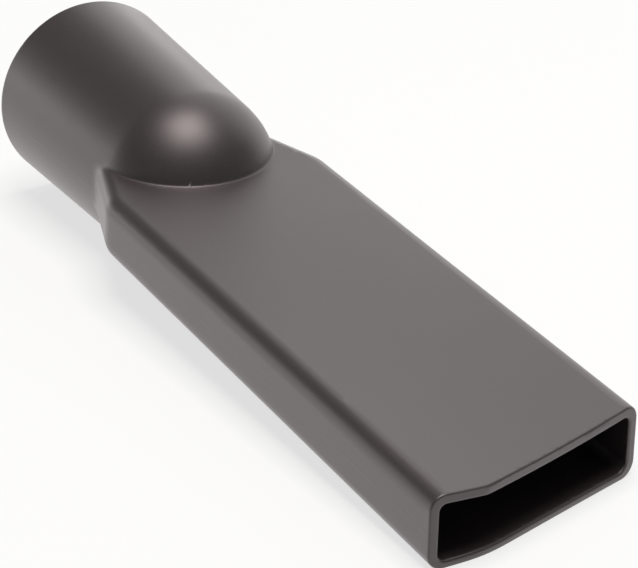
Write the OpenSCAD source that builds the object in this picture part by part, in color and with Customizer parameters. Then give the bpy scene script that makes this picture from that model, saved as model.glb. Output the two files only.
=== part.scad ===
// Crevice tool for a household vacuum cleaner, moulded in one piece.
// A round collar takes the wand, a half-round dome closes it, and a flat body runs on to the mouth.
// Millimetres. Origin on the socket's axis at the stop that the wand meets, +X to the mouth, +Z up.

/* [Socket] */
// Outside diameter of the wand that the socket takes
wand_d = 32; // [28:0.1:40]
// Room round the wand at the parallel seat, on the radius
seat_gap = 0.15; // [0.05:0.05:0.3]
// Length of the parallel seat, up to the stop
seat_len = 16; // [8:0.5:24]
// Depth of the socket, from the rear rim to the stop
socket_len = 42; // [30:0.5:60]
// How much wider the tapered lead is at the rim than the seat, on the radius
lead_rise = 1.15; // [0.3:0.05:2]
// Step that stops the wand, measured on the radius
stop_step = 0.6; // [0.3:0.1:1.2]

/* [Collar and dome] */
// Thickness of the collar's wall at the rear rim
collar_wall = 2.2; // [2:0.1:3.5]
// Draft of the collar's outside, each side, in degrees
collar_draft = 1.75; // [0.5:0.05:2]
// Length of the round chamber, from the stop to the middle of the dome
chamber_len = 3.3; // [2:0.1:10]
// Rounding of the rear rim's edges
rim_r = 0.6; // [0.2:0.1:0.9]
// Fillet where the dome's foot meets the flat faces
foot_r = 0.6; // [0.3:0.1:1.2]

/* [Flat body] */
// Length from the shoulders' corners to the front corner of the mouth
body_len = 124.3; // [90:0.5:200]
// Outside width where the shoulders end
body_w = 46.8; // [42:0.1:60]
// Outside height where the shoulders end
body_h = 12.7; // [11:0.1:18]
// Distance of the body's middle plane below the socket's axis
body_drop = 0.8; // [0:0.1:2]
// Radius of the long outside edges
edge_r = 3.1; // [2:0.1:4]
// Thickness of the top and bottom walls
flat_wall = 1.5; // [1.2:0.1:1.8]
// Thickness of the side walls
side_wall = 1.8; // [1.2:0.1:2.6]
// Draft of the body towards the mouth, each side, in degrees
body_draft = 0.25; // [0:0.05:0.6]

/* [Shoulders] */
// Length from the middle of the dome to the corner of each shoulder
shoulder_len = 13.4; // [8:0.1:30]
// Angle of the shoulders to the axis, in degrees
shoulder_angle = 18.4; // [12:0.1:30]
// Radius of the shoulders' corners, seen from above
shoulder_r = 10; // [5:0.5:14]

/* [Mouth] */
// Width of the part of the mouth that is cut square
square_w = 11; // [4:0.1:20]
// Angle of the rest of the mouth, which runs back, in degrees
slant_angle = 18.3; // [0:0.1:30]

/* [Hidden] */

// Fineness of turned surfaces and of blended ones
$fn = 96;
blend_fn = 32;
// How far a cut runs past the face that it opens, and a fillet reaches into what carries it
past = 5;
bury = 1;

seat_r = wand_d / 2 + seat_gap;
lead_r = seat_r + lead_rise;
chamber_r = seat_r - stop_step;
rim_outer = lead_r + collar_wall;
dome_r = rim_outer - (socket_len + chamber_len) * tan(collar_draft);

// Places along the axis, counted from the stop
shoulder_x = chamber_len + shoulder_len;
front_x = shoulder_x + body_len;

// Growth of the body's half width and half height from the shoulders to the mouth
flare = body_len * tan(body_draft);
mouth_w = body_w + 2 * flare;
mouth_h = body_h + 2 * flare;

// Middle of the round corner of each shoulder
corner_x = shoulder_x + shoulder_r * tan(shoulder_angle / 2);
corner_y = body_w / 2 - shoulder_r;

// The flat form starts inside the wall of the dome, and its hollow in front of the chamber
root_x = shoulder_x - (body_w / 2 - dome_r + bury) / tan(shoulder_angle);
hollow_x = chamber_len + edge_r;

// The colour of the moulded plastic
plastic = [0.26, 0.25, 0.25];

// Half width of the line that the shoulders follow, at a place along the axis
function shoulder_half(x) = body_w / 2 - (shoulder_x - x) * tan(shoulder_angle);

// Disc with a rounded rim, from which the blended forms are stretched
module rounded_disc(r, h, edge) {
    rotate_extrude($fn = blend_fn) {
        square([r - edge, h]);
        translate([0, edge])
            square([r, h - 2 * edge]);
        for (z = [edge, h - edge])
            translate([r - edge, z])
                intersection() {
                    circle(edge, $fn = blend_fn);
                    translate([0, -edge])
                        square([edge, 2 * edge]);
                }
    }
}

// Two such discs, one on each side of the axis, about the body's middle plane
module disc_pair(x, y, h, r, edge) {
    for (side = [-1, 1])
        translate([x, side * y, -body_drop - h / 2])
            rounded_disc(r, h, edge);
}

// The flat body's form: narrow in the collar, full width at the shoulders, flaring to the mouth.
// The hollow is the same form, a wall's thickness inside.
module flat_form(start_x, side_inset = 0, flat_inset = 0) {
    edge = edge_r - flat_inset;
    start_y = shoulder_half(start_x) - (side_inset + edge) / cos(shoulder_angle);
    mouth_y = mouth_w / 2 - side_inset - edge;
    hull() {
        disc_pair(start_x, start_y, body_h - 2 * flat_inset, edge, edge);
        disc_pair(corner_x, corner_y, body_h - 2 * flat_inset, shoulder_r - side_inset, edge);
        disc_pair(front_x, mouth_y, mouth_h - 2 * flat_inset, edge, edge);
    }
}

// Outside of the collar and its dome, turned about the socket's axis, with a rounded rim
module collar_outside() {
    slope = tan(collar_draft);
    translate([-socket_len, 0, 0])
        rotate([0, 90, 0])
            rotate_extrude() {
                polygon([
                    [0, 0],
                    [rim_outer - rim_r, 0],
                    [rim_outer - rim_r * slope, rim_r],
                    [dome_r, socket_len + chamber_len],
                    [0, socket_len + chamber_len]
                ]);
                intersection() {
                    translate([rim_outer - rim_r * (1 + slope), rim_r])
                        circle(rim_r);
                    square([rim_outer, rim_r]);
                }
            }
    translate([chamber_len, 0, 0])
        sphere(dome_r);
}

// Ring that fills the corner between the dome and a flat face at the given height over the axis
module foot_fillet(face_z) {
    ball_z = face_z + foot_r;
    ball_x = sqrt(pow(dome_r + foot_r, 2) - pow(ball_z, 2));
    touch = dome_r / (dome_r + foot_r);
    translate([chamber_len, 0, 0])
        rotate_extrude()
            difference() {
                polygon([
                    [ball_x * touch - bury, face_z - bury],
                    [ball_x, face_z - bury],
                    [ball_x, face_z],
                    [ball_x * touch, ball_z * touch],
                    [ball_x * touch - bury, ball_z * touch]
                ]);
                translate([ball_x, ball_z])
                    circle(foot_r);
            }
}

// Hollow of the collar: chamfer, tapered lead, parallel seat, stop and round chamber
module socket() {
    translate([-socket_len, 0, 0])
        rotate([0, 90, 0]) {
            cylinder(h = rim_r, r1 = lead_r + rim_r, r2 = lead_r);
            cylinder(h = socket_len - seat_len, r1 = lead_r, r2 = seat_r);
            cylinder(h = socket_len, r = seat_r);
            cylinder(h = socket_len + chamber_len, r = chamber_r);
        }
    translate([chamber_len, 0, 0])
        sphere(chamber_r);
}

// What is cut away in front of the mouth: square at one corner, slanted from there on
module mouth_cut() {
    knee_y = square_w - mouth_w / 2;
    reach = mouth_w + past;
    translate([0, 0, -mouth_h])
        linear_extrude(2 * mouth_h)
            polygon([
                [front_x, -reach],
                [front_x, knee_y],
                [front_x - reach * tan(slant_angle), knee_y + reach],
                [front_x + reach, knee_y + reach],
                [front_x + reach, -reach]
            ]);
}

module nozzle() {
    color(plastic)
        difference() {
            union() {
                collar_outside();
                flat_form(root_x);
                foot_fillet(body_h / 2 - body_drop);
                mirror([0, 0, 1])
                    foot_fillet(body_h / 2 + body_drop);
            }
            socket();
            flat_form(hollow_x, side_wall, flat_wall);
            mouth_cut();
        }
}

nozzle();
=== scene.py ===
import math

import bpy
from mathutils import Matrix, Vector


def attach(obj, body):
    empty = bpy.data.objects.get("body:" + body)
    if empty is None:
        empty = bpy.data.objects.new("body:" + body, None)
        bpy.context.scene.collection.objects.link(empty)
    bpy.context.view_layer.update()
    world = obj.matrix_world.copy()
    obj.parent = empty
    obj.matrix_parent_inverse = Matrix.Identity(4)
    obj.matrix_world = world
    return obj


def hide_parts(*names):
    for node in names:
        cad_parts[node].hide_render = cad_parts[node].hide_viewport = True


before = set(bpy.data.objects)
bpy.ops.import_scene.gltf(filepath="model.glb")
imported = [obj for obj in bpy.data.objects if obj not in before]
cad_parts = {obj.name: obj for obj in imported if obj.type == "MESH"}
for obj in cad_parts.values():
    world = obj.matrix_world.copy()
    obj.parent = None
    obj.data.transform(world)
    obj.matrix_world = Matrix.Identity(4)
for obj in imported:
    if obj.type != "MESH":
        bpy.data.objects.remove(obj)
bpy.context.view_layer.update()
print("frame loaded:", sorted(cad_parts))

millimetre = 0.001


# node trees
class Wire:
    # One socket of a node tree, so that shader and geometry maths read as plain expressions.
    def __init__(self, tree, socket=None):
        self.tree = tree
        self.socket = socket

    def node(self, kind, settings=None, values=None, out=0):
        made = self.tree.nodes.new(kind)
        for name, value in (settings or {}).items():
            if name == "stops":  # a colour ramp's places and colours
                ramp = made.color_ramp
                while len(ramp.elements) < len(value):
                    ramp.elements.new(0.5)
                for element, (place, colour) in zip(ramp.elements, value):
                    element.position = place
                    element.color = colour
            else:
                setattr(made, name, value)
        for key, value in (values or {}).items():
            if isinstance(value, Wire):
                self.tree.links.new(value.socket, made.inputs[key])
            else:
                made.inputs[key].default_value = value
        return Wire(self.tree, made.outputs[out]) if made.outputs else Wire(self.tree)

    def other(self, name):
        return Wire(self.tree, self.socket.node.outputs[name])

    def maths(self, kind, *operands):
        values = dict(enumerate([self, *operands]))
        return self.node("ShaderNodeMath", {"operation": kind}, values)

    def __add__(self, value):
        return self.maths("ADD", value)

    __radd__ = __add__

    def __sub__(self, value):
        return self.maths("SUBTRACT", value)

    def __rsub__(self, value):
        return self.node("ShaderNodeMath", {"operation": "SUBTRACT"}, {0: value, 1: self})

    def __mul__(self, value):
        return self.maths("MULTIPLY", value)

    __rmul__ = __mul__

    def __truediv__(self, value):
        return self.maths("DIVIDE", value)

    def __neg__(self):
        return self * -1.0

    def atLeast(self, value):
        return self.maths("MAXIMUM", value)

    def atMost(self, value):
        return self.maths("MINIMUM", value)

    def root(self):
        return self.maths("SQRT")

    def size(self):
        return self.maths("ABSOLUTE")

    def over(self, low, high):  # 0 below low, 1 above high, smooth between
        return self.node(
            "ShaderNodeMapRange",
            {"interpolation_type": "SMOOTHSTEP"},
            {"Value": self, "From Min": low, "From Max": high},
        )

    def vector(self, kind, *operands):
        values = dict(enumerate([self, *operands]))
        return self.node("ShaderNodeVectorMath", {"operation": kind}, values)

    def scaled(self, value):
        return self.node("ShaderNodeVectorMath", {"operation": "SCALE"}, {0: self, "Scale": value})

    def parts(self):
        split = self.node("ShaderNodeSeparateXYZ", {}, {0: self})
        return split.other("X"), split.other("Y"), split.other("Z")


# moulded plastic
plastic = {
    "dark": (0.023, 0.0185, 0.0195),
    "light": (0.031, 0.0255, 0.0265),
    "roughness": 0.45,
    "roughnessSpread": 0.07,
    "specular": 0.58,
    "specularTint": (1.0, 0.88, 0.89),
    "ior": 1.5,
    "skin": 1.0,  # a second gloss, from the worn tops of the matt texture
    "skinRoughness": 0.46,
    "skinIor": 1.5,
    "skinTint": (1.0, 0.94, 0.945),
    "grain": 2600.0,  # cells of the spark-eroded texture, per metre
    "grainHeight": 0.000012,
    "flowStretch": (4.0, 150.0, 190.0),  # cells per metre of the bands that run along the tool
    "flowHeight": 0.00004,
    "cloud": 70.0,
    "partingAt": -0.0008,  # height of the line where the mould's halves meet
    "partingWidth": 0.00022,
    "partingHeight": 0.00003,
}


def makePlastic(name, look):
    material = bpy.data.materials.new(name)
    material.use_nodes = True
    tree = material.node_tree
    tree.nodes.clear()
    start = Wire(tree)
    place = start.node("ShaderNodeTexCoord").other("Object")

    def noise(vector, scale, detail, roughness=0.5):
        return start.node("ShaderNodeTexNoise", {}, {
            "Vector": vector, "Scale": scale, "Detail": detail, "Roughness": roughness,
        }).other("Fac")

    grain = noise(place, look["grain"], 2.0, 0.6)
    stretched = start.node("ShaderNodeMapping", {}, {"Vector": place, "Scale": look["flowStretch"]})
    flow = noise(stretched, 1.0, 1.0)
    cloud = noise(place, look["cloud"], 3.0)
    height = place.parts()[2]
    offLine = (height - look["partingAt"]).size()
    parting = 1.0 - offLine.over(0.25 * look["partingWidth"], look["partingWidth"])

    fineTops = grain.over(0.46, 0.66)
    shade = (cloud * 0.55 + fineTops * 0.45).over(0.2, 0.8)
    colour = start.node("ShaderNodeMix", {"data_type": "RGBA"}, {
        "Factor": shade,
        6: (*look["dark"], 1.0),
        7: (*look["light"], 1.0),
    }, out=2)
    roughness = look["roughness"] + (cloud - 0.5) * look["roughnessSpread"] + (grain - 0.5) * look["roughnessSpread"]
    relief = grain * look["grainHeight"] + flow * look["flowHeight"] + parting * look["partingHeight"]
    bump = start.node("ShaderNodeBump", {}, {"Strength": 1.0, "Distance": 1.0, "Height": relief})
    shader = start.node("ShaderNodeBsdfPrincipled", {}, {
        "Base Color": colour,
        "Roughness": roughness,
        "Normal": bump,
        "Specular IOR Level": look["specular"],
        "Specular Tint": (*look["specularTint"], 1.0),
        "IOR": look["ior"],
        "Coat Weight": look["skin"],
        "Coat Roughness": look["skinRoughness"],
        "Coat IOR": look["skinIor"],
        "Coat Tint": (*look["skinTint"], 1.0),
    })
    start.node("ShaderNodeOutputMaterial", {}, {"Surface": shader})
    return material


plasticFinish = makePlastic("mouldedPlastic", plastic)
print("plastic made")


# the nozzle
nozzle = {  # millimetres and degrees, from the socket's stop
    "rimAt": -42.0,
    "rimRadius": 19.5,
    "collarSlope": math.tan(math.radians(1.75)),
    "domeAt": 3.3,
    "domeRadius": 18.116,
    "leadSlope": 1.15 / 26.0,
    "seatRadius": 16.15,
    "seatFrom": -16.0,
    "chamberRadius": 15.55,
    "shoulderAt": 16.7,
    "shoulderAngle": math.radians(18.4),
    "shoulderBlend": 0.76,
    "halfWidth": 23.4,
    "halfHeight": 6.35,
    "drop": 0.8,
    "sideFlare": math.tan(math.radians(0.25)),
    "flatFlare": math.tan(math.radians(0.35)),
    "topRise": 0.25,  # how far the top stands up at the mouth's corners
    "topBow": 0.75,  # how far the flats sink in the middle of the mouth
    "bottomBow": 0.15,
    "edgeRound": 3.1,
    "sideWall": 2.0,
    "topWall": 2.05,
    "bottomWall": 1.55,
    "innerRound": 1.4,
    "innerCorner": 0.7,  # added to the rounding of one inside corner
    "hollowFrom": 5.3,
    "footBlend": 0.7,
    "mouthAt": 141.0,
    "kneeAt": -12.94,
    "slantAngle": math.radians(18.3),
    "kneeBlend": 0.3,
    "lowKneeBlend": 2.4,
    "lipRound": 0.4,
    "innerLip": 0.6,
    "rimRound": 0.6,
    "cell": 0.25,
    "adaptivity": 0.02,
}


def roundOver(a, b, radius):  # the part that two forms share, its edge rounded
    a, b = a + radius, b + radius
    outside = (a.atLeast(0.0) * a.atLeast(0.0) + b.atLeast(0.0) * b.atLeast(0.0)).root()
    return a.atLeast(b).atMost(0.0) + outside - radius


def blendMost(a, b, width):
    return a.maths("SMOOTH_MAX", b, width)


def blendLeast(a, b, width):
    return a.maths("SMOOTH_MIN", b, width)


def makeDistanceGroup(sizes):
    tree = bpy.data.node_groups.new("nozzleDistance", "GeometryNodeTree")
    tree.interface.new_socket("Point", in_out="INPUT", socket_type="NodeSocketVector")
    for name in sizes:
        tree.interface.new_socket(name, in_out="INPUT", socket_type="NodeSocketFloat")
    tree.interface.new_socket("Distance", in_out="OUTPUT", socket_type="NodeSocketFloat")
    given = Wire(tree).node("NodeGroupInput")
    s = {name: given.other(name) for name in sizes}
    x, y, z = given.other("Point").parts()
    reach = y * y + z * z
    radius = reach.root()

    # collar and dome, turned about the socket's axis
    cone = radius - s["rimRadius"] + (x - s["rimAt"]) * s["collarSlope"]
    ahead = x - s["domeAt"]
    ball = (ahead * ahead + reach).root() - s["domeRadius"]
    turned = cone + (ball - cone) * ahead.maths("GREATER_THAN", 0.0)

    # flat body: shoulders, sides that flare a little, flats that sag a little towards the mouth
    shoulderSine = s["shoulderAngle"].maths("SINE")
    shoulderCosine = s["shoulderAngle"].maths("COSINE")
    beyond = y.size() - s["halfWidth"]
    past = x - s["shoulderAt"]
    plan = blendMost(beyond * shoulderCosine - past * shoulderSine, beyond - past * s["sideFlare"], s["shoulderBlend"])
    across = y / s["halfWidth"]
    near = x.over(40.0, 141.0)
    bow = near * (1.0 - across * across).atLeast(0.0)
    half = s["halfHeight"] + past.atLeast(0.0) * s["flatFlare"]
    height = z + s["drop"]
    top = height - half - near * s["topRise"] + bow * s["topBow"]
    bottom = bow * s["bottomBow"] - height - half
    flat = top.atLeast(bottom)
    innerFlat = (top + s["topWall"]).atLeast(bottom + s["bottomWall"])
    body = roundOver(plan, flat, s["edgeRound"])
    outside = blendLeast(turned, body, s["footBlend"])

    # the hollow: socket with its lead and stop, round chamber, flat airway
    bore = radius - s["seatRadius"] - (s["seatFrom"] - x).atLeast(0.0) * s["leadSlope"]
    bore = bore.atLeast(x)
    forward = ahead.atLeast(0.0)
    chamber = (forward * forward + reach).root() - s["chamberRadius"]
    lowRight = y.maths("GREATER_THAN", 0.0) * height.maths("LESS_THAN", 0.0)
    cornerRound = s["innerRound"] + lowRight * s["innerCorner"]
    airway = roundOver(plan + s["sideWall"], innerFlat, cornerRound)
    airway = roundOver(airway, s["hollowFrom"] - x, s["innerRound"])
    hollow = blendLeast(bore.atMost(chamber), airway, 0.5)

    # walls between the two, ended by the mouth's two planes and by the rear rim
    toMouth = x - s["mouthAt"]
    slanted = toMouth * s["slantAngle"].maths("COSINE") + (y - s["kneeAt"]) * s["slantAngle"].maths("SINE")
    knee = s["kneeBlend"] + (1.0 - height.over(-6.5, 3.0)) * (s["lowKneeBlend"] - s["kneeBlend"])
    mouth = blendMost(toMouth, slanted, knee)
    whole = roundOver(outside, mouth, s["lipRound"]).atLeast(roundOver(-hollow, mouth, s["innerLip"]))
    whole = roundOver(whole, s["rimAt"] - x, s["rimRound"])
    whole.node("NodeGroupOutput", {}, {"Distance": whole})
    return tree


def makeNozzleTree(sizes, distanceTree, finish):
    tree = bpy.data.node_groups.new("nozzleTree", "GeometryNodeTree")
    tree.interface.new_socket("Geometry", in_out="OUTPUT", socket_type="NodeSocketGeometry")
    for name in sizes:
        tree.interface.new_socket(name, in_out="INPUT", socket_type="NodeSocketFloat")
    start = Wire(tree)
    given = start.node("NodeGroupInput")
    s = {name: given.other(name) for name in sizes}

    def distance(point):
        values = {name: s[name] for name in shapeSizes}
        return start.node("GeometryNodeGroup", {"node_tree": distanceTree}, {"Point": point, **values})

    def slope(point, step=0.05):  # the way out of the form at a point, and its distance there
        ways = ((1, -1, -1), (-1, -1, 1), (-1, 1, -1), (1, 1, 1))
        total, level = None, None
        for way in ways:
            found = distance(point.vector("ADD", tuple(step * v for v in way)))
            part = start.node("ShaderNodeCombineXYZ", {}, dict(enumerate(found * v for v in way)))
            total = part if total is None else total.vector("ADD", part)
            level = found if level is None else level + found
        return total.scaled(0.25 / step), level * 0.25

    # the form is filled with a fine lattice, meshed, and every point is drawn onto the true surface
    place = start.node("GeometryNodeInputPosition").scaled(1000.0)
    cell = s["cell"]
    fill = (0.5 - distance(place) / (cell * 4.0)).atLeast(0.0).atMost(1.0)
    low = start.node("ShaderNodeCombineXYZ", {}, {0: s["rimAt"] - 1.0, 1: -25.0, 2: -20.5})
    high = start.node("ShaderNodeCombineXYZ", {}, {0: s["mouthAt"] + 1.0, 1: 25.0, 2: 20.5})
    span = high.vector("SUBTRACT", low).parts()
    block = start.node("GeometryNodeVolumeCube", {}, {
        "Density": fill,
        "Background": 0.0,
        "Min": low.scaled(millimetre),
        "Max": high.scaled(millimetre),
        "Resolution X": span[0] / cell,
        "Resolution Y": span[1] / cell,
        "Resolution Z": span[2] / cell,
    })
    shell = block.node("GeometryNodeVolumeToMesh", {"resolution_mode": "GRID"}, {
        "Volume": block,
        "Threshold": 0.5,
        "Adaptivity": s["adaptivity"],
    })
    entry = tree.nodes.new("GeometryNodeRepeatInput")
    leave = tree.nodes.new("GeometryNodeRepeatOutput")
    entry.pair_with_output(leave)
    entry.inputs["Iterations"].default_value = 4
    tree.links.new(shell.socket, entry.inputs["Geometry"])
    way, level = slope(start.node("GeometryNodeInputPosition").scaled(1000.0))
    strength = way.vector("DOT_PRODUCT", way)
    strength = strength.other("Value").atLeast(0.3)
    shift = way.scaled(level / strength * -millimetre)
    moved = start.node("GeometryNodeSetPosition", {}, {
        "Geometry": Wire(tree, entry.outputs["Geometry"]),
        "Offset": shift,
    })
    tree.links.new(moved.socket, leave.inputs["Geometry"])
    way, level = slope(start.node("GeometryNodeInputPosition").scaled(1000.0))
    marked = start.node("GeometryNodeStoreNamedAttribute", {"data_type": "FLOAT_VECTOR", "domain": "POINT"}, {
        "Geometry": Wire(tree, leave.outputs["Geometry"]),
        "Name": "outward",
        "Value": way.vector("NORMALIZE"),
    })
    whole = start.node("GeometryNodeRealizeInstances", {}, {"Geometry": marked})
    whole = start.node("GeometryNodeSetMaterial", {}, {"Geometry": whole, "Material": finish})
    start.node("NodeGroupOutput", {}, {"Geometry": whole})
    return tree


def setInputs(modifier, values):
    for item in modifier.node_group.interface.items_tree:
        if item.item_type == "SOCKET" and item.in_out == "INPUT" and item.name in values:
            modifier[item.identifier] = values[item.name]


def plainMesh(source, name):
    graph = bpy.context.evaluated_depsgraph_get()
    graph.update()
    return bpy.data.meshes.new_from_object(source.evaluated_get(graph), depsgraph=graph)


shapeSizes = [name for name in nozzle if name not in ("cell", "adaptivity")]
distanceTree = makeDistanceGroup(shapeSizes)
nozzleTree = makeNozzleTree(nozzle, distanceTree, plasticFinish)
nozzlePiece = bpy.data.objects.new("nozzleShell", bpy.data.meshes.new("nozzleSeed"))
bpy.context.scene.collection.objects.link(nozzlePiece)
growth = nozzlePiece.modifiers.new("growth", "NODES")
growth.node_group = nozzleTree
setInputs(growth, nozzle)
shellMesh = plainMesh(nozzlePiece, "nozzleShell")
nozzlePiece.modifiers.remove(growth)
nozzlePiece.data = shellMesh
outward = [tuple(item.vector) for item in shellMesh.attributes["outward"].data]
shellMesh.attributes.remove(shellMesh.attributes["outward"])
shellMesh.shade_smooth()
shellMesh.normals_split_custom_set_from_vertices(outward)
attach(nozzlePiece, "root")
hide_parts("nozzle")
print("nozzle made:", len(shellMesh.vertices), "points,", sum(len(p.vertices) - 2 for p in shellMesh.polygons), "triangles")


# floor, light and camera
stageSizes = {
    "floorHalf": 2.0,
    "rearFoot": (-0.042, 0.0, -0.01948),
    "mouthFoot": (0.141, -0.0208, -0.00769),
    "mouthFarFoot": (0.1295, 0.0208, -0.00769),
}


def makeFloor(sizes):
    rear, near, far = (Vector(sizes[k]) for k in ("rearFoot", "mouthFoot", "mouthFarFoot"))
    along = (near - rear).normalized()
    up = along.cross(far - near)
    up = (up if up.z > 0 else -up).normalized()
    across = up.cross(along)
    half = sizes["floorHalf"]
    corners = [rear + along * half * a + across * half * b for a, b in ((-1, -1), (1, -1), (1, 1), (-1, 1))]
    mesh = bpy.data.meshes.new("floor")
    mesh.from_pydata([c - up * 0.00002 for c in corners], [], [(0, 1, 2, 3)])
    floor = bpy.data.objects.new("floor", mesh)
    bpy.context.scene.collection.objects.link(floor)
    paper = bpy.data.materials.new("paper")
    paper.use_nodes = True
    paper.node_tree.nodes.clear()
    start = Wire(paper.node_tree)
    ray = start.node("ShaderNodeLightPath")
    mirrored = ray.other("Is Glossy Ray").maths("MAXIMUM", ray.other("Is Transmission Ray"))
    lit = start.node("ShaderNodeBsdfDiffuse", {}, {"Color": (0.9, 0.9, 0.9, 1.0)})
    glow = start.node("ShaderNodeEmission", {}, {"Color": (1, 1, 1, 1), "Strength": 1.0})
    share = mirrored.maths("MAXIMUM", ray.other("Is Camera Ray") * 0.7)
    white = start.node("ShaderNodeMixShader", {}, {"Fac": share, 1: lit, 2: glow})
    start.node("ShaderNodeOutputMaterial", {}, {"Surface": white})
    mesh.materials.append(paper)
    return up


floorUp = makeFloor(stageSizes)


def softBox(name, size, power, direction, distance, colour=(1, 1, 1)):
    azimuth, elevation = (math.radians(v) for v in direction)
    way = Vector((math.cos(azimuth) * math.cos(elevation), math.sin(azimuth) * math.cos(elevation), math.sin(elevation)))
    lamp = bpy.data.lights.new(name, "AREA")
    lamp.shape = "RECTANGLE"
    lamp.size, lamp.size_y = size
    lamp.energy = power
    lamp.color = colour
    box = bpy.data.objects.new(name, lamp)
    box.location = Vector((0.05, 0, 0)) + way * distance
    box.visible_camera = False
    box.rotation_mode = "QUATERNION"
    box.rotation_quaternion = way.to_track_quat("Z", "Y")
    bpy.context.scene.collection.objects.link(box)
    return box


softBox("overheadBox", (0.6, 0.6), 9.2, (-1, 87), 1.0, (1.0, 0.975, 0.945))
softBox("backBox", (1.6, 1.2), 5.8, (125, 22), 1.2)
softBox("lowBox", (2.0, 0.22), 3.4, (-175, 1), 1.2)

world = bpy.data.worlds.new("studio")
bpy.context.scene.world = world
world.use_nodes = True
world.node_tree.nodes.clear()
start = Wire(world.node_tree)
ray = start.node("ShaderNodeLightPath")
seen = ray.other("Is Camera Ray")
plain = start.node("ShaderNodeBackground", {}, {"Color": (1, 1, 1, 1), "Strength": 0.15})
white = start.node("ShaderNodeBackground", {}, {"Color": (1, 1, 1, 1), "Strength": 1.0})
mixed = start.node("ShaderNodeMixShader", {}, {"Fac": seen, 1: plain, 2: white})
start.node("ShaderNodeOutputWorld", {}, {"Surface": mixed})

photoView = {
    "azimuth": 28.991,  # degrees from +X towards -Y, round the tool
    "elevation": 27.332,
    "roll": 1.483,
    "aim": (0.033, 0.0, 0.0),
    "distance": 0.66018,
    "across": 0.012204,
    "upward": -0.009134,
    "lens": 196.55,
}


def makeCamera(view):
    a, e, r = (math.radians(view[k]) for k in ("azimuth", "elevation", "roll"))
    back = Vector((math.cos(a) * math.cos(e), -math.sin(a) * math.cos(e), math.sin(e)))
    level = Vector((math.sin(a), math.cos(a), 0))
    upright = back.cross(level)
    right = math.cos(r) * level + math.sin(r) * upright
    up = math.cos(r) * upright - math.sin(r) * level
    camera = bpy.data.objects.new("photoCamera", bpy.data.cameras.new("photoCamera"))
    camera.data.lens = view["lens"]
    camera.data.sensor_width = 36.0
    camera.data.clip_start, camera.data.clip_end = 0.01, 20.0
    place = Vector(view["aim"]) + back * view["distance"] + right * view["across"] + up * view["upward"]
    turn = Matrix((right, up, back)).transposed().to_4x4()
    camera.matrix_world = Matrix.Translation(place) @ turn
    bpy.context.scene.collection.objects.link(camera)
    bpy.context.scene.camera = camera


makeCamera(photoView)
bpy.context.scene.view_settings.view_transform = "Standard"
print("floor, light and camera made")
